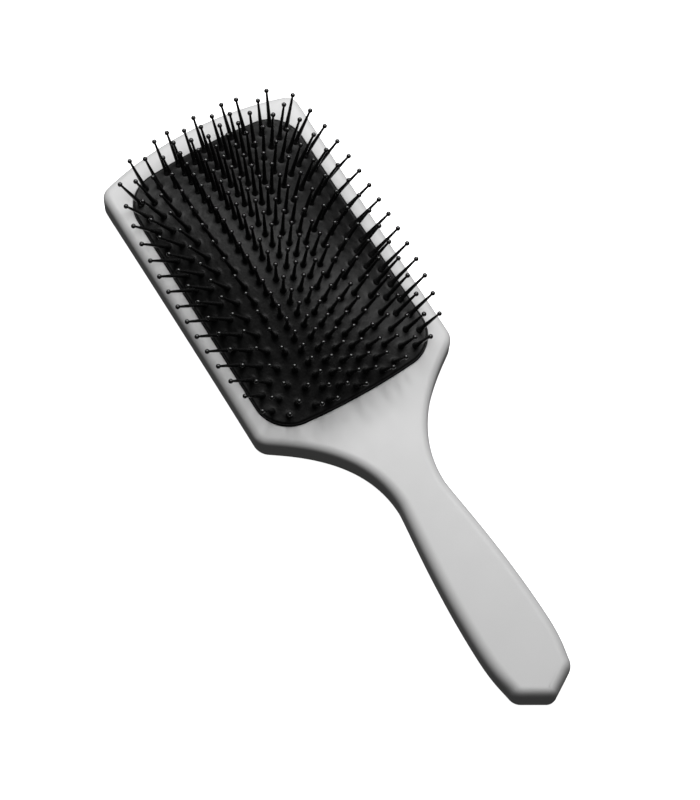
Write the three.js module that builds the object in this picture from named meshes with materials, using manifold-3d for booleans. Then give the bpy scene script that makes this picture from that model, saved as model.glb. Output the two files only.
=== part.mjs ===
// A paddle hair brush: a hollow moulded paddle with a flat handle, an air-filled rubber cushion
// clamped in a window in its face, and thirteen columns of ball-tipped pins that stand on the cushion.
// It lies on its back. X is its width, Y its length with the handle towards -Y, and +Z its pin side.
// The origin is the middle of the back, and every size is in millimetres.

import * as THREE from "three";
import { mergeVertices } from "three/addons/utils/BufferGeometryUtils.js";
import Module from "manifold-3d";

const wasm = await Module();
wasm.setup();

const at = (x, y) => new THREE.Vector2(x, y);

// ---------------------------------------------------------------- driving dimensions

const GAP = 0.3; // clearance between neighbouring pieces
const THICKNESS = 13; // back to front face, along the whole paddle
const EDGE_RADIUS = 3; // rounding of the long edges, front and back
const HALF_LENGTH = 129.3;

const HEAD_HALF_WIDTH = 41.95;
const HEAD_WIDEST = 42.65; // half width near the head's top
const TOP_RADIUS = 134; // radius of the head's slightly bowed top edge
const TOP_CORNER_RADIUS = 5.4;
const SHOULDER = at(HEAD_HALF_WIDTH, 4.55);
const SHOULDER_RADIUS = 7;

const FLARE_END = at(36.45, 0.7); // where the neck's curve meets the shoulder's edge
const NECK = at(9.5, -41.3); // narrowest half width
const GRIP = at(14, -102.7); // widest half width of the handle
const END_CORNER = at(11.85, -122.85);
const END_CORNER_RADIUS = 5.5;
const END_POINT = at(0, -131.3); // where the two end chamfers would meet
const END_POINT_RADIUS = 8.8;

const PAD_CENTRE = 60.85; // along Y
const PAD_HALF_WIDTH = 36.1;
const PAD_HALF_LENGTH = 59;
const PAD_CORNER_RADIUS = 14.3;
const PAD_END_BOW = 0.95; // how far the pad's short edges bow outwards

const RUBBER = 1.8; // thickness of the cushion's membrane
const CUSHION_RIM = 1.2; // the membrane's steep rim above the face
const CUSHION_CROWN = 12; // crown above the face
const BEAD = 1.2; // how far the cushion's bead reaches under the lip
const BEAD_HEIGHT = 2;
const LIP = 1.8; // thickness of the face over the bead

const PIN_LENGTH = 17; // from the rubber to the top of the ball
const PIN_ROOT_RADIUS = 0.85;
const PIN_NECK_RADIUS = 0.4;
const PIN_BALL_RADIUS = 0.9;
const PIN_SIDES = 4;
const LAST_COLUMN = 6; // columns run from -6 to 6 across the pad
const COLUMN_PITCH = 5.8; // between the roots of the middle columns
const COLUMN_CROWDING = 0.09; // share by which the outermost columns stand further in
const STRIP_WIDTH = 2; // the strip that joins a column's feet on the rubber
const STRIP_THICKNESS = 0.9;
const STRIP_HEIGHT = 1.15; // from the rubber to the strip's middle
const STRIP_OVERHANG = 1.4; // past the end pins
const STRIP_STEPS = 12;

const COVER_THICKNESS = 2.4;
const COVER_INSET = 3.4; // from the paddle's outline to the cover's recess
const HANDLE_WALL = 5.2; // from the paddle's outline to the handle's cavity
const FACE_WALL = 2.4; // face thickness over the handle's cavity
const RIB = 2;
const PEG_RADIUS = 1.3;
const PEG_LENGTH = 4.2;
const BOSS_RADIUS = 3.2;

const LEDGE = COVER_THICKNESS + GAP; // depth of the cover's recess
const FACE = THICKNESS;
const BEAD_TOP = FACE - LIP - GAP;
const BEAD_BOTTOM = BEAD_TOP - BEAD_HEIGHT;

// ---------------------------------------------------------------- materials

const lacquer = new THREE.MeshStandardMaterial({ color: 0xc9cacb, roughness: 0.48, metalness: 0.15 });
const coverLacquer = new THREE.MeshStandardMaterial({ color: 0xc2c3c5, roughness: 0.5, metalness: 0.15 });
const rubber = new THREE.MeshStandardMaterial({ color: 0x1b1b1c, roughness: 0.75, metalness: 0 });
const nylon = new THREE.MeshStandardMaterial({ color: 0x0c0c0d, roughness: 0.25, metalness: 0 });
const greyPlastic = new THREE.MeshStandardMaterial({ color: 0x55575a, roughness: 0.6, metalness: 0 });

// ---------------------------------------------------------------- solids

// A closed geometry as a solid that can be cut and joined.
function solidOf(geometry) {
  const bare = new THREE.BufferGeometry();
  bare.setAttribute("position", geometry.getAttribute("position"));
  bare.setIndex(geometry.index);
  const merged = mergeVertices(bare, 1e-4);
  return new wasm.Manifold(
    new wasm.Mesh({
      numProp: 3,
      vertProperties: merged.attributes.position.array,
      triVerts: new Uint32Array(merged.index.array),
    }),
  );
}

// A solid as a named mesh.
function meshOf(name, solid, material) {
  const data = solid.getMesh();
  const geometry = new THREE.BufferGeometry();
  geometry.setAttribute("position", new THREE.BufferAttribute(data.vertProperties, 3));
  geometry.setIndex(new THREE.BufferAttribute(data.triVerts, 1));
  const flat = geometry.toNonIndexed();
  flat.computeVertexNormals();
  const mesh = new THREE.Mesh(flat, material);
  mesh.name = name;
  return mesh;
}

// A flat outline pulled up from z = low to z = high.
function prism(outline, low, high) {
  const geometry = new THREE.ExtrudeGeometry(new THREE.Shape(outline), {
    depth: high - low,
    bevelEnabled: false,
    curveSegments: 1,
  });
  geometry.translate(0, 0, low);
  return solidOf(geometry);
}

function roundPeg(x, y, radius, low, high) {
  const geometry = new THREE.CylinderGeometry(radius, radius, high - low, 16);
  geometry.rotateX(Math.PI / 2);
  geometry.translate(x, y, (low + high) / 2);
  return solidOf(geometry);
}

// ---------------------------------------------------------------- outlines

// Points of the arc that rounds a left-hand corner between two straight edges.
function roundCorner(before, corner, after, radius, steps) {
  const along = corner.clone().sub(before).normalize();
  const leaving = after.clone().sub(corner).normalize();
  const turn = Math.acos(along.dot(leaving));
  const start = corner.clone().addScaledVector(along, -radius * Math.tan(turn / 2));
  const centre = at(start.x - along.y * radius, start.y + along.x * radius);
  const points = [];
  for (let i = 0; i <= steps; i += 1) {
    points.push(start.clone().rotateAround(centre, (turn * i) / steps));
  }
  return points;
}

// The right half's points, continued by their mirror image on the left.
function mirrored(half) {
  const left = half.filter((p) => p.x > 1e-6).map((p) => at(-p.x, p.y));
  return [...half, ...left.reverse()];
}

function curvePoints(start, startControl, endControl, end, steps) {
  return new THREE.CubicBezierCurve(start, startControl, endControl, end).getPoints(steps);
}

// The paddle's outline, anticlockwise from the middle of the handle's end.
function paddleOutline() {
  const flareDirection = SHOULDER.clone().sub(FLARE_END).normalize();
  const oppositeCorner = at(-END_CORNER.x, END_CORNER.y);
  const gripStart = at(END_CORNER.x + 0.35, END_CORNER.y + 2.4);
  const topAt = (x) => HALF_LENGTH - TOP_RADIUS + Math.sqrt(TOP_RADIUS ** 2 - x ** 2);
  const topCorner = at(HEAD_WIDEST, topAt(HEAD_WIDEST));
  const topStart = at(HEAD_WIDEST - 6.7, topAt(HEAD_WIDEST - 6.7));
  const sideEnd = at(HEAD_WIDEST, topCorner.y - 8);

  const half = [
    ...roundCorner(oppositeCorner, END_POINT, END_CORNER, END_POINT_RADIUS, 6).filter((p) => p.x > -1e-6),
    ...roundCorner(END_POINT, END_CORNER, gripStart, END_CORNER_RADIUS, 4),
    ...curvePoints(gripStart, at(12.5, -117.3), at(GRIP.x, -113), GRIP, 3).slice(1),
    ...curvePoints(GRIP, at(GRIP.x, -72.7), at(NECK.x, -45.3), NECK, 6).slice(1),
    ...curvePoints(
      NECK,
      at(NECK.x, NECK.y + 18.8),
      FLARE_END.clone().addScaledVector(flareDirection, -17.8),
      FLARE_END,
      9,
    ).slice(1),
    ...roundCorner(FLARE_END, SHOULDER, at(SHOULDER.x, 20), SHOULDER_RADIUS, 4).slice(1),
    ...new THREE.QuadraticBezierCurve(
      at(HEAD_HALF_WIDTH, 15),
      at(HEAD_HALF_WIDTH, 63),
      sideEnd,
    ).getPoints(4),
    ...roundCorner(sideEnd, topCorner, topStart, TOP_CORNER_RADIUS, 5),
  ];
  for (let x = 28; x >= 0; x -= 7) {
    half.push(at(x, topAt(x)));
  }
  return mirrored(half);
}

// The cushion window's outline, grown by margin on every side.
function padOutline(margin) {
  const halfWidth = PAD_HALF_WIDTH + margin;
  const halfLength = PAD_HALF_LENGTH + margin;
  const radius = PAD_CORNER_RADIUS + margin;
  const edgeX = halfWidth - radius;
  const edgeY = halfLength - PAD_END_BOW;
  const bow = (x) => PAD_END_BOW * (1 - (x / edgeX) ** 2);
  const half = [];
  for (const end of [-1, 1]) {
    const edge = [0, 0.35, 0.7].map((share) => at(edgeX * share, edgeY + bow(edgeX * share)));
    for (let i = 0; i <= 5; i += 1) {
      const angle = (Math.PI / 2) * (1 - i / 5);
      edge.push(at(edgeX + radius * Math.cos(angle), edgeY - radius + radius * Math.sin(angle)));
    }
    edge.push(at(halfWidth, (edgeY - radius) * 0.5));
    const placed = edge.map((p) => at(p.x, PAD_CENTRE + end * p.y));
    half.push(...(end < 0 ? placed : [at(halfWidth, PAD_CENTRE), ...placed.reverse()]));
  }
  return mirrored(half);
}

// The outline moved inwards by distance. Points that the tight corners would fold over are dropped.
function inset(outline, distance) {
  const count = outline.length;
  const moved = outline.map((point, i) => {
    const before = outline[(i + count - 1) % count];
    const after = outline[(i + 1) % count];
    const along = after.clone().sub(before).normalize();
    return at(point.x - along.y * distance, point.y + along.x * distance);
  });
  const closest = (point) => {
    const distances = outline.map((start, i) => {
      const edge = outline[(i + 1) % count].clone().sub(start);
      const share = THREE.MathUtils.clamp(point.clone().sub(start).dot(edge) / edge.lengthSq(), 0, 1);
      return point.distanceTo(start.clone().addScaledVector(edge, share));
    });
    return Math.min(...distances);
  };
  return moved.filter((point) => closest(point) > distance * 0.98);
}

const between = (outline, low, high) => outline.filter((p) => p.y > low && p.y < high);

const paddle = paddleOutline();

// ---------------------------------------------------------------- casing

const pegPlaces = [
  [35.6, 117.6],
  [-35.6, 117.6],
  [20, -3.6],
  [-20, -3.6],
  [0, -30],
  [0, -100],
];

// The paddle's main moulding: face, walls and lip in one, open at the back.
function frontShell() {
  const blank = new THREE.ExtrudeGeometry(new THREE.Shape(paddle), {
    depth: THICKNESS - 2 * EDGE_RADIUS,
    bevelThickness: EDGE_RADIUS,
    bevelSize: EDGE_RADIUS,
    bevelOffset: -EDGE_RADIUS,
    bevelSegments: 2,
    curveSegments: 1,
  });
  blank.translate(0, 0, EDGE_RADIUS);
  const cavityWall = inset(paddle, HANDLE_WALL);
  const cavityTop = THICKNESS - FACE_WALL;
  let shell = solidOf(blank)
    .subtract(prism(inset(paddle, COVER_INSET), -1, LEDGE))
    .subtract(prism(padOutline(BEAD + GAP), -1, BEAD_TOP + GAP))
    .subtract(prism(padOutline(0), -1, FACE + 1));
  const ribPlaces = [-118, -86, -54, -12];
  for (let i = 0; i < ribPlaces.length - 1; i += 1) {
    const cell = between(cavityWall, ribPlaces[i] + RIB / 2, ribPlaces[i + 1] - RIB / 2);
    shell = shell.subtract(prism(cell, -1, cavityTop));
  }
  for (const [x, y] of pegPlaces) {
    const inHandle = y < -12;
    if (inHandle) shell = shell.add(roundPeg(x, y, BOSS_RADIUS, LEDGE, cavityTop + 0.5));
    shell = shell.subtract(roundPeg(x, y, PEG_RADIUS + GAP, -1, LEDGE + PEG_LENGTH));
  }
  return meshOf("front_shell", shell, lacquer);
}

// The rear panel, let into the back, with the pegs that locate it.
function backCover() {
  let cover = prism(inset(paddle, COVER_INSET + GAP), 0, COVER_THICKNESS);
  for (const [x, y] of pegPlaces) {
    cover = cover.add(roundPeg(x, y, PEG_RADIUS, COVER_THICKNESS - 1, COVER_THICKNESS + PEG_LENGTH));
  }
  return meshOf("back_cover", cover, coverLacquer);
}

// The stiff plate that closes the air space behind the cushion, ribbed across its back.
function chamberPlate() {
  const plateBottom = LEDGE + 0.8;
  const plate = prism(padOutline(BEAD), plateBottom, plateBottom + 1.4);
  let ribbed = plate;
  for (const y of [-40, -20, 0, 20, 40]) {
    const rib = new THREE.BoxGeometry(60, 1.6, 1.2);
    rib.translate(0, PAD_CENTRE + y, plateBottom - 0.2);
    ribbed = ribbed.add(solidOf(rib));
  }
  return meshOf("chamber_plate", ribbed, greyPlastic);
}

// The ring that clamps the cushion's bead against the lip.
function retainingRing() {
  const low = LEDGE + 0.8 + 1.4 + GAP;
  const opening = prism(padOutline(-2.4), low - 1, FACE);
  const ring = prism(padOutline(BEAD), low, BEAD_BOTTOM - GAP).subtract(opening);
  return meshOf("retaining_ring", ring, greyPlastic);
}

// ---------------------------------------------------------------- cushion

// Height of the cushion's outer surface.
function cushionTop(x, y) {
  const across = Math.min(Math.abs(x) / PAD_HALF_WIDTH, 1);
  const along = Math.min(Math.abs(y - PAD_CENTRE) / PAD_HALF_LENGTH, 1);
  const dome = (1 - across ** 2) ** 1.1 * (1 - along ** 2);
  return FACE + CUSHION_RIM + (CUSHION_CROWN - CUSHION_RIM) * dome;
}

// Direction square to the cushion's outer surface.
function cushionNormal(x, y) {
  const step = 0.5;
  const slopeX = (cushionTop(x + step, y) - cushionTop(x - step, y)) / (2 * step);
  const slopeY = (cushionTop(x, y + step) - cushionTop(x, y - step)) / (2 * step);
  return new THREE.Vector3(-slopeX, -slopeY, 1).normalize();
}

// Root and direction of the pin at distance y along column number k. The pins fan out over the dome,
// and both slopes of the fan, sideways and lengthways, fade towards the pad's edges.
function pinAt(k, y) {
  const share = k / LAST_COLUMN;
  const x = COLUMN_PITCH * k * (1 - COLUMN_CROWDING * share ** 2);
  const across = x / PAD_HALF_WIDTH;
  const along = y / PAD_HALF_LENGTH;
  const sideways = across * (0.34 + 1.06 * across ** 2) * (1 - Math.abs(along) ** 2.5);
  const lengthways = along * (0.5 + 0.1 * along) - 0.69 * across ** 2 * along * (1 - along ** 2);
  const root = new THREE.Vector3(x, PAD_CENTRE + y, cushionTop(x, PAD_CENTRE + y));
  const direction = new THREE.Vector3(sideways, lengthways, 1).normalize();
  return { root, direction };
}

// How many pins each column has, and how far its end pins stand from the pad's middle. The two
// columns of a pair are half a step apart, so that their pins alternate.
const columnRows = [
  { pins: 23, reach: 55.7 },
  { pins: 22, reach: 52.6 },
  { pins: 23, reach: 55.3 },
  { pins: 16, reach: 54.6 },
  { pins: 15, reach: 50.7 },
  { pins: 16, reach: 53 },
  { pins: 15, reach: 48.4 },
];

function columnPins(k) {
  const { pins, reach } = columnRows[Math.abs(k)];
  const places = [];
  for (let i = 0; i < pins; i += 1) {
    places.push(pinAt(k, reach * ((2 * i) / (pins - 1) - 1)));
  }
  return places;
}

// A geometry that stands on the origin along +Y, moved to a root and turned along a direction.
function stand(geometry, root, direction) {
  const turn = new THREE.Quaternion().setFromUnitVectors(new THREE.Vector3(0, 1, 0), direction);
  return geometry.applyQuaternion(turn).translate(root.x, root.y, root.z);
}

// Several separate closed geometries as one solid.
function together(geometries) {
  return geometries.map(solidOf).reduce((sum, solid) => sum.add(solid));
}

// A closed loft over the pad's outline. Each station is a ring, from the top's middle to the bottom's.
function padLoft(stations, topMiddle, bottomMiddle) {
  const positions = [0, PAD_CENTRE, topMiddle];
  let count = 0;
  for (const { margin, scale, height } of stations) {
    const outline = padOutline(margin);
    count = outline.length;
    for (const p of outline) {
      const x = p.x * scale;
      const y = PAD_CENTRE + (p.y - PAD_CENTRE) * scale;
      positions.push(x, y, height(x, y));
    }
  }
  positions.push(0, PAD_CENTRE, bottomMiddle);
  const last = positions.length / 3 - 1;
  const ringStart = (ring) => 1 + ring * count;
  const index = [];
  for (let i = 0; i < count; i += 1) {
    const next = (i + 1) % count;
    index.push(0, ringStart(0) + i, ringStart(0) + next);
    for (let ring = 0; ring < stations.length - 1; ring += 1) {
      const a = ringStart(ring) + i;
      const b = ringStart(ring) + next;
      const c = ringStart(ring + 1) + next;
      const d = ringStart(ring + 1) + i;
      index.push(a, d, c, a, c, b);
    }
    const lastRing = ringStart(stations.length - 1);
    index.push(last, lastRing + next, lastRing + i);
  }
  const geometry = new THREE.BufferGeometry();
  geometry.setAttribute("position", new THREE.Float32BufferAttribute(positions, 3));
  geometry.setIndex(index);
  return solidOf(geometry);
}

// The domed rubber membrane, with its bead and an air vent.
function cushion() {
  const outside = -GAP;
  const inside = -GAP - RUBBER;
  const above = (x, y) => cushionTop(x, y);
  const below = (x, y) => cushionTop(x, y) - RUBBER;
  const level = (z) => () => z;
  const surface = [0.3, 0.52, 0.7, 0.84, 0.95];
  const stations = [
    ...surface.map((scale) => ({ margin: outside, scale, height: above })),
    { margin: outside, scale: 1, height: level(FACE + CUSHION_RIM) },
    { margin: outside, scale: 1, height: level(BEAD_TOP) },
    { margin: BEAD, scale: 1, height: level(BEAD_TOP) },
    { margin: BEAD, scale: 1, height: level(BEAD_BOTTOM) },
    { margin: inside, scale: 1, height: level(BEAD_BOTTOM) },
    { margin: inside, scale: 1, height: level(FACE + CUSHION_RIM - RUBBER) },
    ...surface.map((scale) => ({ margin: inside, scale, height: below })).reverse(),
  ];
  const membrane = padLoft(stations, FACE + CUSHION_CROWN, FACE + CUSHION_CROWN - RUBBER);
  const vent = new THREE.CylinderGeometry(1, 1, 8, 8);
  vent.rotateX(Math.PI / 2);
  vent.translate(COLUMN_PITCH / 2, PAD_CENTRE - 9.5, FACE + CUSHION_CROWN);
  return meshOf("cushion", membrane.subtract(solidOf(vent)), rubber);
}

// ---------------------------------------------------------------- pins

// A tapered pin with a ball tip, from inside its column's strip to its full length.
function pinGeometry(root, direction) {
  const profile = [
    at(0, STRIP_HEIGHT),
    at(PIN_ROOT_RADIUS, STRIP_HEIGHT),
    at(PIN_NECK_RADIUS, PIN_LENGTH - 2 * PIN_BALL_RADIUS),
    at(PIN_BALL_RADIUS, PIN_LENGTH - PIN_BALL_RADIUS),
    at(0, PIN_LENGTH),
  ];
  return stand(new THREE.LatheGeometry(profile, PIN_SIDES), root, direction);
}

// The strip on the rubber that joins the feet of one column. It follows the dome along Y.
function footStrip(k) {
  const { reach } = columnRows[Math.abs(k)];
  const positions = [];
  const index = [];
  for (let i = 0; i <= STRIP_STEPS; i += 1) {
    const { root } = pinAt(k, (reach + STRIP_OVERHANG) * ((2 * i) / STRIP_STEPS - 1));
    const normal = cushionNormal(root.x, root.y);
    const middle = root.addScaledVector(normal, STRIP_HEIGHT);
    const across = new THREE.Vector3(0, 1, 0).cross(normal).normalize();
    for (const [right, high] of [[-1, -1], [1, -1], [1, 1], [-1, 1]]) {
      const corner = middle
        .clone()
        .addScaledVector(across, (right * STRIP_WIDTH) / 2)
        .addScaledVector(normal, (high * STRIP_THICKNESS) / 2);
      positions.push(corner.x, corner.y, corner.z);
    }
  }
  for (let i = 0; i < STRIP_STEPS * 4; i += 4) {
    for (let edge = 0; edge < 4; edge += 1) {
      const a = i + edge;
      const b = i + ((edge + 1) % 4);
      index.push(a, b + 4, b, a, a + 4, b + 4);
    }
  }
  const last = STRIP_STEPS * 4;
  index.push(0, 1, 2, 0, 2, 3, last, last + 2, last + 1, last, last + 3, last + 2);
  const geometry = new THREE.BufferGeometry();
  geometry.setAttribute("position", new THREE.Float32BufferAttribute(positions, 3));
  geometry.setIndex(index);
  return solidOf(geometry);
}

function pinColumn(k) {
  const places = columnPins(k);
  const pins = together(places.map(({ root, direction }) => pinGeometry(root, direction)));
  const number = String(k + LAST_COLUMN + 1).padStart(2, "0");
  return meshOf(`pin_column_${number}`, pins.add(footStrip(k)), nylon);
}

// ---------------------------------------------------------------- assembly

const paddleBrush = new THREE.Group();
paddleBrush.add(frontShell(), backCover(), chamberPlate(), retainingRing(), cushion());
for (let k = -LAST_COLUMN; k <= LAST_COLUMN; k += 1) {
  paddleBrush.add(pinColumn(k));
}

export default paddleBrush;
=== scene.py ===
"""The looks of a paddle hair brush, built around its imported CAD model.

The casing, cushion and pins follow the CAD model's formulas, with smoother meshes and a few finer sizes.
Sizes are in millimetres and become metres when a mesh is written. The lights' places are in metres.
"""

import math

import bmesh
import bpy
import numpy as np
from mathutils import Matrix, Vector


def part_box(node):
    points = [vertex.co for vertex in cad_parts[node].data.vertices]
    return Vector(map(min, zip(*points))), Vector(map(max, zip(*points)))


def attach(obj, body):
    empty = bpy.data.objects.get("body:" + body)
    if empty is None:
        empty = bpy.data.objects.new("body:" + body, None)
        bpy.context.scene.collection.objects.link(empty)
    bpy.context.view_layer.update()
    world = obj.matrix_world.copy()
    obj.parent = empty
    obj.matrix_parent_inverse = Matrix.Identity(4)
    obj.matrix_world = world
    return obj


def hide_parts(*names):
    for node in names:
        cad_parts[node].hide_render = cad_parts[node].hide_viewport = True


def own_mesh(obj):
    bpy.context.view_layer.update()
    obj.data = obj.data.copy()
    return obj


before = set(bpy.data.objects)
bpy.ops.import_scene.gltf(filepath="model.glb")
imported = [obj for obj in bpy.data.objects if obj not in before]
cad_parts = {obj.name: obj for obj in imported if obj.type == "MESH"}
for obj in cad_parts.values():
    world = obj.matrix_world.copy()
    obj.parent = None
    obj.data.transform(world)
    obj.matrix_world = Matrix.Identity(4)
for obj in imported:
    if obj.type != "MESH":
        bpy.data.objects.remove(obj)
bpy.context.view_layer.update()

MM = 0.001
UP = Vector((0, 0, 1))
UPWARDS = Vector((0, 1))  # along the brush, in its outline's plane


def in_mm(vector):
    return vector / MM


# ---------------------------------------------------------------- driving dimensions

SHELL_HIGH = in_mm(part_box("front_shell")[1])
RUBBER_LOW, RUBBER_HIGH = (in_mm(corner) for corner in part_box("cushion"))

FACE = SHELL_HIGH.z
HALF_LENGTH = SHELL_HIGH.y
HEAD_WIDEST = SHELL_HIGH.x
HEAD_HALF_WIDTH = HEAD_WIDEST - 0.7
TOP_RADIUS = 134
TOP_CORNER_RADIUS = 5.4
TOP_CORNER_REACH = Vector((6.7, 8))  # how far the corner's arms run along the top edge and down the side
TOP_ARC_REACH = 36  # half width over which the bowed top edge is drawn
SIDE_START = 15  # y at which the head's side starts to bow outwards
SIDE_PULL = 63  # y towards which the bow is drawn
SHOULDER = Vector((HEAD_HALF_WIDTH, 4.55))
SHOULDER_RADIUS = 7
FLARE_END = Vector((36.45, 0.7))
FLARE_PULL = 17.8  # length of the neck curve's handle at the flare
NECK = Vector((9.6, -41.3))
NECK_PULLS = (4, 18.8)  # lengths of the curves' handles below and above the neck
GRIP = Vector((14.3, -102.7))
GRIP_PULLS = (10.3, 30)  # and below and above the grip
GRIP_START = Vector((0.35, 2.4))  # from the end's corner to the start of the grip's curve
GRIP_TAIL = Vector((12.75, -117.3))  # the point towards which that curve starts out
END_CORNER = Vector((12.05, -122.85))
END_CORNER_RADIUS = 5.5
END_POINT = Vector((0, -130))
END_POINT_RADIUS = 4

BEAD = 1.2
GAP = 0.3
LIP = 1.8
RUBBER = 1.8
PAD_CENTRE = (RUBBER_LOW.y + RUBBER_HIGH.y) / 2
PAD_HALF_WIDTH = RUBBER_HIGH.x - BEAD
PAD_HALF_LENGTH = (RUBBER_HIGH.y - RUBBER_LOW.y) / 2 - BEAD
PAD_CORNER_RADIUS = 14.3
PAD_END_BOW = 0.95
CUSHION_RIM = 1.2
CUSHION_SHOULDER = 1  # radius of the membrane's rounded edge
CUSHION_CROWN = RUBBER_HIGH.z - FACE
BEAD_TOP = FACE - LIP - GAP
BEAD_BOTTOM = RUBBER_LOW.z

HEAD_EDGE = (3.1, 2.9)  # width and height of the rounded front edge on the head
HANDLE_EDGE = (3.8, 3.8)  # and on the handle
END_EDGE = (3.8, 6)  # and around the handle's end
HANDLE_EDGE_SPAN = (5, 60)  # how far below the origin the edge changes to the handle's
END_EDGE_SPAN = (112, 128)  # and to the end's
EDGE_MARGIN = 0.4  # flat strip inside the rounded edge
EDGE_STEPS = 12
BACK_EDGE = 2.2
WINDOW_CHAMFER = 0.3
COVER_RIM = 0.5  # radius of the rear panel's rounded rim
PANEL_CHAMFER = 0.3
COVER_INSET = 3.4
COVER_THICKNESS = 2.4
LEDGE = COVER_THICKNESS + GAP

PIN_LENGTH = 17
PIN_BALL_RADIUS = 0.92
PIN_NECK_RADIUS = 0.43
PIN_ROOT_RADIUS = 0.85
PIN_SIDES = 14
PIN_FOOT = [(1.3, -0.6), (1.3, 0.3), (1.22, 0.65), (1.05, 1), (0.93, 1.5)]  # radius and height of its rings
PIN_FOOT_TOP = 2.4
PIN_SHAFT_STEPS = 5
PIN_BALL_STEPS = 8
LAST_COLUMN = 6
COLUMN_PITCH = 5.8
COLUMN_CROWDING = 0.09  # share by which the outermost columns stand further in
COLUMN_ROWS = [(23, 55.7), (22, 52.6), (23, 55.3), (16, 54.6), (15, 50.7), (16, 53), (15, 48.4)]
BOSS_RADIUS = 2.1
BOSS_HEIGHT = 0.45


# ---------------------------------------------------------------- outlines


def corner_arc(before, corner, after, radius, steps):
    """The arc that rounds a left-hand corner between two straight edges."""
    along = (corner - before).normalized()
    leaving = (after - corner).normalized()
    turn = math.acos(along.dot(leaving))
    start = corner - along * radius * math.tan(turn / 2)
    centre = start + Vector((-along.y, along.x)) * radius
    arm = start - centre
    points = []
    for i in range(steps + 1):
        cosine = math.cos(turn * i / steps)
        sine = math.sin(turn * i / steps)
        points.append(centre + Vector((arm.x * cosine - arm.y * sine, arm.x * sine + arm.y * cosine)))
    return points


def bezier(a, b, c, d, steps):
    """The cubic curve from a to d, drawn towards b and c."""
    shares = [i / steps for i in range(steps + 1)]
    return [a * (1 - t) ** 3 + 3 * b * t * (1 - t) ** 2 + 3 * c * t**2 * (1 - t) + d * t**3 for t in shares]


def mirrored(half):
    """The right half's points, continued by their mirror image on the left."""
    left = [Vector((-p.x, p.y)) for p in half if p.x > 1e-6]
    return half + left[::-1]


def paddle_outline():
    """The paddle's outline, anticlockwise from the middle of the handle's end."""
    flare = (SHOULDER - FLARE_END).normalized()
    opposite = Vector((-END_CORNER.x, END_CORNER.y))
    grip_start = END_CORNER + GRIP_START

    def top_at(x):
        return Vector((x, HALF_LENGTH - TOP_RADIUS + math.sqrt(TOP_RADIUS**2 - x**2)))

    top_corner = top_at(HEAD_WIDEST)
    side_end = top_corner - Vector((0, TOP_CORNER_REACH.y))
    end_arc = [p for p in corner_arc(opposite, END_POINT, END_CORNER, END_POINT_RADIUS, 24) if p.x > -1e-6]
    half = [
        *end_arc,
        *corner_arc(END_POINT, END_CORNER, grip_start, END_CORNER_RADIUS, 12),
        *bezier(grip_start, GRIP_TAIL, GRIP - UPWARDS * GRIP_PULLS[0], GRIP, 14)[1:],
        *bezier(GRIP, GRIP + UPWARDS * GRIP_PULLS[1], NECK - UPWARDS * NECK_PULLS[0], NECK, 36)[1:],
        *bezier(NECK, NECK + UPWARDS * NECK_PULLS[1], FLARE_END - flare * FLARE_PULL, FLARE_END, 40)[1:],
        *corner_arc(FLARE_END, SHOULDER, Vector((SHOULDER.x, 20)), SHOULDER_RADIUS, 12)[1:],
    ]
    side_start = Vector((HEAD_HALF_WIDTH, SIDE_START))
    side_pull = Vector((HEAD_HALF_WIDTH, SIDE_PULL))
    for i in range(1, 41):
        t = i / 40
        half.append(side_start * (1 - t) ** 2 + 2 * side_pull * t * (1 - t) + side_end * t**2)
    top_start = top_at(HEAD_WIDEST - TOP_CORNER_REACH.x)
    half += corner_arc(side_end, top_corner, top_start, TOP_CORNER_RADIUS, 14)[1:]
    half += [top_at(x) for x in np.linspace(TOP_ARC_REACH, 0, 19)]
    return mirrored(half)


def pad_outline(margin, corner_steps=20):
    """The cushion window's outline, grown by margin on every side."""
    half_width = PAD_HALF_WIDTH + margin
    half_length = PAD_HALF_LENGTH + margin
    radius = PAD_CORNER_RADIUS + margin
    edge_x = half_width - radius
    edge_y = half_length - PAD_END_BOW
    quarter = [Vector((edge_x * t, edge_y + PAD_END_BOW * (1 - t * t))) for t in np.linspace(0, 0.95, 20)]
    for i in range(corner_steps + 1):
        angle = math.pi / 2 * (1 - i / corner_steps)
        corner_y = edge_y - radius + radius * math.sin(angle)
        quarter.append(Vector((edge_x + radius * math.cos(angle), corner_y)))
    quarter += [Vector((half_width, y)) for y in np.linspace(edge_y - radius, 0, 37)[1:]]
    lower = [Vector((p.x, PAD_CENTRE - p.y)) for p in quarter]
    upper = [Vector((p.x, PAD_CENTRE + p.y)) for p in quarter[:-1]]
    return mirrored(lower + upper[::-1])


def inset(outline, distance):
    """The outline moved inwards by a distance, or by a distance worked out from each point."""
    count = len(outline)
    moved = []
    for i, point in enumerate(outline):
        along = (outline[(i + 1) % count] - outline[i - 1]).normalized()
        reach = distance(point) if callable(distance) else distance
        moved.append(Vector((point.x - along.y * reach, point.y + along.x * reach)))
    return moved


# ---------------------------------------------------------------- meshes


def loft(bm, rings):
    """Closed rings of points joined by strips of faces. Returns each ring's vertices."""
    made = [[bm.verts.new(point * MM) for point in ring] for ring in rings]
    count = len(made[0])
    for lower, upper in zip(made, made[1:]):
        for i in range(count):
            j = (i + 1) % count
            bm.faces.new((lower[i], lower[j], upper[j], upper[i]))
    return made


def ring_edges(bm, ring):
    return [bm.edges.get((ring[i - 1], ring[i])) for i in range(len(ring))]


def fill_flat(bm, *rings):
    """A flat face inside a ring, or between an outer ring and a ring inside it."""
    edges = [edge for ring in rings for edge in ring_edges(bm, ring)]
    bmesh.ops.triangle_fill(bm, edges=edges, use_beauty=True)


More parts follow.
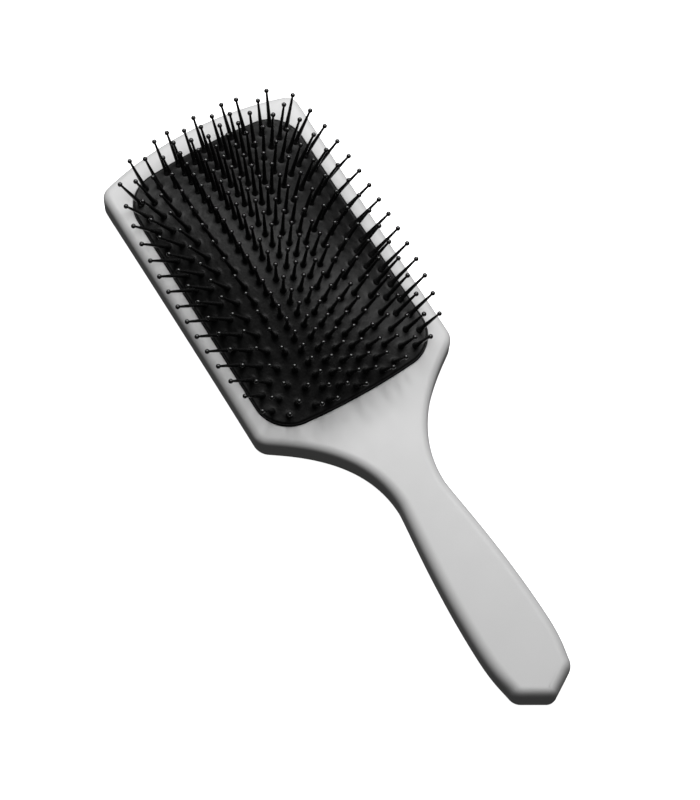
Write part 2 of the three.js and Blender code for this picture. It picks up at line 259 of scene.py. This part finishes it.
def finish_piece(name, bm, material, body, sharp_angle=35):
    """A bmesh as a smooth-shaded piece that rides on a CAD body."""
    bmesh.ops.recalc_face_normals(bm, faces=bm.faces)
    mesh = bpy.data.meshes.new(name)
    bm.to_mesh(mesh)
    bm.free()
    mesh.materials.append(material)
    mesh.shade_smooth()
    mesh.set_sharp_from_angle(angle=math.radians(sharp_angle))
    piece = bpy.data.objects.new(name, mesh)
    bpy.context.scene.collection.objects.link(piece)
    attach(piece, body)
    return piece


def flat_ring(outline, z):
    return [Vector((p.x, p.y, z)) for p in outline]


# ---------------------------------------------------------------- materials


class Nodes:
    """A short way to write a material's nodes."""

    def __init__(self, name):
        self.material = bpy.data.materials.new(name)
        self.material.use_nodes = True
        self.tree = self.material.node_tree
        self.shader = self.tree.nodes["Principled BSDF"]
        self.place = self.tree.nodes.new("ShaderNodeTexCoord").outputs["Object"]

    def link(self, source, target):
        self.tree.links.new(source, target)

    def noise(self, scale, detail, roughness=0.5):
        """Soft noise from 0 to 1, with its scale per metre."""
        texture = self.tree.nodes.new("ShaderNodeTexNoise")
        texture.inputs["Scale"].default_value = scale
        texture.inputs["Detail"].default_value = detail
        texture.inputs["Roughness"].default_value = roughness
        self.link(self.place, texture.inputs["Vector"])
        return texture.outputs["Fac"]

    def ramp(self, source, stops):
        """Grey levels along a value: the two stops are pairs of place and level."""
        node = self.tree.nodes.new("ShaderNodeValToRGB")
        elements = node.color_ramp.elements
        for element, (place, level) in zip(elements, stops):
            element.position = place
            element.color = (level, level, level, 1)
        self.link(source, node.inputs["Fac"])
        return node.outputs["Color"]

    def bump(self, layers):
        """Layers of (height source, distance in mm, strength), one on top of the other."""
        previous = None
        for source, distance, strength in layers:
            node = self.tree.nodes.new("ShaderNodeBump")
            node.inputs["Distance"].default_value = distance * MM
            node.inputs["Strength"].default_value = strength
            self.link(source, node.inputs["Height"])
            if previous:
                self.link(previous, node.inputs["Normal"])
            previous = node.outputs["Normal"]
        self.link(previous, self.shader.inputs["Normal"])


def lacquer_material(name, low, high, roughness):
    """Satin pale plastic: a faint cloudy tone, a fine moulded grain and a slightly uneven gloss."""
    nodes = Nodes(name)
    cloud = nodes.noise(28, 2)
    nodes.link(nodes.ramp(cloud, [(0.35, low), (0.65, high)]), nodes.shader.inputs["Base Color"])
    gloss = nodes.noise(160, 4)
    levels = [(0.3, roughness - 0.03), (0.7, roughness + 0.04)]
    nodes.link(nodes.ramp(gloss, levels), nodes.shader.inputs["Roughness"])
    nodes.bump([(nodes.noise(5200, 2), 0.02, 0.12), (nodes.noise(420, 2), 0.05, 0.04)])
    nodes.shader.inputs["Specular IOR Level"].default_value = 0.45
    return nodes.material


def rubber_material():
    """Matte charcoal rubber with a dusty mottle and a leathery grain."""
    nodes = Nodes("rubber")
    mottle = nodes.noise(520, 5, 0.65)
    nodes.link(nodes.ramp(mottle, [(0.36, 0.0005), (0.66, 0.006)]), nodes.shader.inputs["Base Color"])
    gloss = nodes.noise(330, 4, 0.6)
    nodes.link(nodes.ramp(gloss, [(0.35, 0.36), (0.65, 0.46)]), nodes.shader.inputs["Roughness"])
    nodes.bump([(nodes.noise(1300, 3), 0.1, 0.6), (nodes.noise(450, 3), 0.2, 0.3)])
    nodes.shader.inputs["Specular IOR Level"].default_value = 0.2
    return nodes.material


def nylon_material():
    """Glossy black nylon with faint flow marks."""
    nodes = Nodes("nylon")
    flow = nodes.noise(600, 3, 0.5)
    nodes.link(nodes.ramp(flow, [(0.3, 0.004), (0.7, 0.009)]), nodes.shader.inputs["Base Color"])
    gloss = nodes.noise(900, 2)
    nodes.link(nodes.ramp(gloss, [(0.3, 0.17), (0.7, 0.22)]), nodes.shader.inputs["Roughness"])
    nodes.bump([(nodes.noise(2500, 2), 0.02, 0.1)])
    nodes.shader.inputs["Specular IOR Level"].default_value = 0.8
    return nodes.material


def inner_material():
    """Plain moulded grey plastic, for what the casing hides."""
    nodes = Nodes("inner_plastic")
    nodes.link(nodes.ramp(nodes.noise(60, 3), [(0.3, 0.08), (0.7, 0.11)]), nodes.shader.inputs["Base Color"])
    nodes.link(nodes.ramp(nodes.noise(200, 3), [(0.3, 0.5), (0.7, 0.6)]), nodes.shader.inputs["Roughness"])
    nodes.bump([(nodes.noise(3000, 2), 0.03, 0.2)])
    return nodes.material


lacquer = lacquer_material("lacquer", 0.6, 0.625, 0.46)
cover_lacquer = lacquer_material("cover_lacquer", 0.575, 0.6, 0.48)
rubber = rubber_material()
nylon = nylon_material()
inner_plastic = inner_material()


# ---------------------------------------------------------------- casing


def smooth_step(value, low, high):
    """A soft rise from 0 at low to 1 at high."""
    t = min(max((value - low) / (high - low), 0), 1)
    return t * t * (3 - 2 * t)


def edge_size(point, index):
    """The front edge's width or height, which grows from the head to the handle and to its end."""
    handle_growth = (HANDLE_EDGE[index] - HEAD_EDGE[index]) * smooth_step(-point.y, *HANDLE_EDGE_SPAN)
    end_growth = (END_EDGE[index] - HANDLE_EDGE[index]) * smooth_step(-point.y, *END_EDGE_SPAN)
    return HEAD_EDGE[index] + handle_growth + end_growth


def front_shell():
    """The outer skin with its rounded edges, the window with its lip, and the cover's recess."""
    outline = paddle_outline()
    outer = [flat_ring(inset(outline, lambda p: edge_size(p, 0) + EDGE_MARGIN), FACE)]
    for i in range(EDGE_STEPS + 1):
        angle = math.pi / 2 * i / EDGE_STEPS
        moved = inset(outline, lambda p: edge_size(p, 0) * (1 - math.sin(angle)))
        drops = [edge_size(p, 1) * (1 - math.cos(angle)) for p in outline]
        outer.append([Vector((p.x, p.y, FACE - drop)) for p, drop in zip(moved, drops)])
    back_steps = EDGE_STEPS // 2
    for i in range(back_steps + 1):
        angle = math.pi / 2 * i / back_steps
        level = BACK_EDGE * (1 - math.sin(angle))
        outer.append(flat_ring(inset(outline, BACK_EDGE * (1 - math.cos(angle))), level))
    outer.append(flat_ring(inset(outline, COVER_INSET), 0))
    outer.append(flat_ring(inset(outline, COVER_INSET), LEDGE))

    window = [
        flat_ring(pad_outline(WINDOW_CHAMFER), FACE),
        flat_ring(pad_outline(0.3 * WINDOW_CHAMFER), FACE - 0.3 * WINDOW_CHAMFER),
        flat_ring(pad_outline(0), FACE - WINDOW_CHAMFER),
        flat_ring(pad_outline(0), FACE - LIP),
        flat_ring(pad_outline(BEAD + GAP), FACE - LIP),
        flat_ring(pad_outline(BEAD + GAP), LEDGE),
    ]
    bm = bmesh.new()
    outside = loft(bm, outer)
    inside = loft(bm, window)
    fill_flat(bm, outside[0], inside[0])
    fill_flat(bm, outside[-1], inside[-1])
    shell = finish_piece("casing", bm, lacquer, "paddle")
    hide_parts("front_shell")


def back_cover():
    """The rear panel, with its rounded rim just inside the recess."""
    outline = inset(paddle_outline(), COVER_INSET + GAP)
    rings = [
        flat_ring(inset(outline, PANEL_CHAMFER), COVER_THICKNESS),
        flat_ring(outline, COVER_THICKNESS - PANEL_CHAMFER),
    ]
    for i in range(5):
        angle = math.pi / 2 * i / 4
        level = COVER_RIM * (1 - math.sin(angle))
        rings.append(flat_ring(inset(outline, COVER_RIM * (1 - math.cos(angle))), level))
    rings.append(flat_ring(inset(outline, COVER_RIM + PANEL_CHAMFER), 0))
    bm = bmesh.new()
    made = loft(bm, rings)
    fill_flat(bm, made[0])
    fill_flat(bm, made[-1])
    cover = finish_piece("rear_panel", bm, cover_lacquer, "paddle")
    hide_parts("back_cover")


# ---------------------------------------------------------------- cushion and pins


def cushion_top(x, y):
    """Height of the cushion's outer surface, without the bosses."""
    across = min(abs(x) / PAD_HALF_WIDTH, 1)
    along = min(abs(y - PAD_CENTRE) / PAD_HALF_LENGTH, 1)
    dome = (1 - across**2) ** 1.1 * (1 - along**2)
    return FACE + CUSHION_RIM + (CUSHION_CROWN - CUSHION_RIM) * dome


def pin_at(k, y):
    """Root and direction of the pin at distance y along column k."""
    x = COLUMN_PITCH * k * (1 - COLUMN_CROWDING * (k / LAST_COLUMN) ** 2)
    across = x / PAD_HALF_WIDTH
    along = y / PAD_HALF_LENGTH
    sideways = across * (0.34 + 1.06 * across**2) * (1 - abs(along) ** 2.5)
    lengthways = along * (0.5 + 0.1 * along) - 0.69 * across**2 * along * (1 - along**2)
    root = Vector((x, PAD_CENTRE + y, cushion_top(x, PAD_CENTRE + y)))
    return root, Vector((sideways, lengthways, 1)).normalized()


def column_pins(k):
    """Root and direction of every pin of column k."""
    count, reach = COLUMN_ROWS[abs(k)]
    return [pin_at(k, reach * (2 * i / (count - 1) - 1)) for i in range(count)]


all_columns = range(-LAST_COLUMN, LAST_COLUMN + 1)
roots = np.array([root for k in all_columns for root, _ in column_pins(k)])


def boss_lift(x, y):
    """How far the small boss around each pin's root lifts the rubber."""
    gap = np.hypot(roots[:, 0] - x, roots[:, 1] - y).min()
    share = max(1 - gap / BOSS_RADIUS, 0)
    return BOSS_HEIGHT * share**2 * (3 - 2 * share)


def cushion():
    """The domed membrane with a rounded rim, its bead under the lip, and its hollow underside."""

    def dome_ring(margin, scale, drop, bosses):
        ring = []
        for p in pad_outline(margin):
            x = p.x * scale
            y = PAD_CENTRE + (p.y - PAD_CENTRE) * scale
            lift = boss_lift(x, y) if bosses else 0
            ring.append(Vector((x, y, cushion_top(x, y) + lift - drop)))
        return ring

    outside = -GAP
    inside = -GAP - RUBBER
    dome_edge = outside - CUSHION_SHOULDER
    rings = [dome_ring(dome_edge, scale, 0, True) for scale in np.linspace(0.008, 1, 96)]
    for i in range(1, 7):
        angle = math.pi / 2 * i / 6
        reach = outside - CUSHION_SHOULDER * (1 - math.sin(angle))
        shoulder = dome_ring(dome_edge, 1, CUSHION_SHOULDER * (1 - math.cos(angle)), False)
        rings.append([Vector((p.x, p.y, s.z)) for p, s in zip(pad_outline(reach), shoulder)])
    rings += [
        flat_ring(pad_outline(outside), BEAD_TOP),
        flat_ring(pad_outline(BEAD), BEAD_TOP),
        flat_ring(pad_outline(BEAD), BEAD_BOTTOM),
        flat_ring(pad_outline(inside), BEAD_BOTTOM),
    ]
    rings += [dome_ring(inside, scale, RUBBER, False) for scale in np.linspace(1, 0.03, 24)]
    bm = bmesh.new()
    made = loft(bm, rings)
    bm.faces.new(made[0])
    bm.faces.new(made[-1])
    pad = finish_piece("rubber_pad", bm, rubber, "paddle")
    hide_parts("cushion")
    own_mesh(pad)


def pin_profile():
    """Radius and height of a pin's rings: flared foot, tapered shaft, ball."""
    centre = PIN_LENGTH - PIN_BALL_RADIUS
    shaft_length = centre - PIN_BALL_RADIUS - PIN_FOOT_TOP
    rings = list(PIN_FOOT)
    for i in range(PIN_SHAFT_STEPS + 1):
        share = i / PIN_SHAFT_STEPS
        radius = PIN_ROOT_RADIUS + (PIN_NECK_RADIUS - PIN_ROOT_RADIUS) * share
        rings.append((radius, PIN_FOOT_TOP + shaft_length * share))
    for i in range(PIN_BALL_STEPS + 1):
        angle = math.radians(-60 + 145 * i / PIN_BALL_STEPS)
        rings.append((PIN_BALL_RADIUS * math.cos(angle), centre + PIN_BALL_RADIUS * math.sin(angle)))
    return rings


def pin_column(k):
    """All the pins of one column as one piece."""
    bm = bmesh.new()
    profile = pin_profile()
    angles = [2 * math.pi * i / PIN_SIDES for i in range(PIN_SIDES)]
    for root, direction in column_pins(k):
        turn = UP.rotation_difference(direction)
        rings = []
        for radius, height in profile:
            upright = [Vector((radius * math.cos(a), radius * math.sin(a), height)) for a in angles]
            rings.append([root + turn @ point for point in upright])
        made = loft(bm, rings)
        bm.faces.new(made[0])
        bm.faces.new(made[-1])
    number = f"{k + LAST_COLUMN + 1:02d}"
    pins = finish_piece(f"pins_{number}", bm, nylon, f"pin_column_{number}", 60)
    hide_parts(f"pin_column_{number}")


front_shell()
back_cover()
cushion()
for k in all_columns:
    pin_column(k)
for node in ("chamber_plate", "retaining_ring"):
    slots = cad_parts[node].data.materials
    slots.clear()
    slots.append(inner_plastic)


# ---------------------------------------------------------------- studio


FLOOR_SIZE = 8  # metres
FLOOR_DROP = 0.0003  # keeps the floor just clear of the brush's back
ROOM_LIGHT = 0.05
CAMERA_AZIMUTH, CAMERA_ELEVATION, CAMERA_ROLL = (math.radians(a) for a in (-36.62, 68.93, 5.73))
CAMERA_TARGET = Vector((-1.44, 6.36, 0)) * MM
CAMERA_DISTANCE = 839.4 * MM
CAMERA_LENS = 101.16


def floor():
    """A plain pale floor that doesn't throw its own light back onto the brush."""
    bpy.ops.mesh.primitive_plane_add(size=FLOOR_SIZE, location=(0, 0, -FLOOR_DROP))
    plane = bpy.context.object
    plane.name = "floor"
    nodes = Nodes("floor")
    nodes.shader.inputs["Base Color"].default_value = (0.9, 0.9, 0.9, 1)
    nodes.shader.inputs["Roughness"].default_value = 0.9
    nodes.shader.inputs["Emission Color"].default_value = (1, 1, 1, 1)
    nodes.shader.inputs["Emission Strength"].default_value = 0.97
    nodes.material.cycles.emission_sampling = "NONE"
    plane.data.materials.append(nodes.material)
    plane.visible_diffuse = False
    plane.visible_glossy = False


def softbox(name, place, target, width, height, power):
    """A rectangular area light that faces its target. Sizes are in metres and the power in watts."""
    data = bpy.data.lights.new(name, "AREA")
    data.shape = "RECTANGLE"
    data.size = width
    data.size_y = height
    data.energy = power
    lamp = bpy.data.objects.new(name, data)
    lamp.location = place
    lamp.rotation_euler = (Vector(target) - Vector(place)).to_track_quat("-Z", "Y").to_euler()
    bpy.context.scene.collection.objects.link(lamp)


def surroundings():
    """A dim grey room."""
    world = bpy.data.worlds.new("room")
    world.use_nodes = True
    background = world.node_tree.nodes["Background"]
    background.inputs["Color"].default_value = (1, 1, 1, 1)
    background.inputs["Strength"].default_value = ROOM_LIGHT
    bpy.context.scene.world = world


def camera():
    """The camera, above the handle's left side and looking down at the head."""
    sideways = Vector((math.sin(CAMERA_AZIMUTH), -math.cos(CAMERA_AZIMUTH), 0))
    back = sideways * math.cos(CAMERA_ELEVATION) + UP * math.sin(CAMERA_ELEVATION)
    right = UP.cross(back).normalized()
    up = back.cross(right)
    rolled_right = right * math.cos(CAMERA_ROLL) + up * math.sin(CAMERA_ROLL)
    rolled_up = up * math.cos(CAMERA_ROLL) - right * math.sin(CAMERA_ROLL)
    data = bpy.data.cameras.new("camera")
    data.lens = CAMERA_LENS
    data.sensor_fit = "AUTO"
    data.sensor_width = 36
    eye = bpy.data.objects.new("camera", data)
    turn = Matrix((rolled_right, rolled_up, back)).transposed()
    eye.matrix_world = Matrix.Translation(CAMERA_TARGET + back * CAMERA_DISTANCE) @ turn.to_4x4()
    bpy.context.scene.collection.objects.link(eye)
    bpy.context.scene.camera = eye


floor()
middle = Vector((0, 10, FACE)) * MM
pad_middle = Vector((0, PAD_CENTRE, FACE)) * MM
softbox("key", (0.1, 0.56, 0.84), middle, 0.65, 0.5, 6.6)
softbox("side", (0.3, 0.13, 0.42), pad_middle, 0.3, 0.3, 0.9)
softbox("overhead", (0.52, 0.31, 1.05), middle, 0.6, 0.6, 3.4)
surroundings()
camera()
bpy.context.scene.view_settings.view_transform = "Standard"
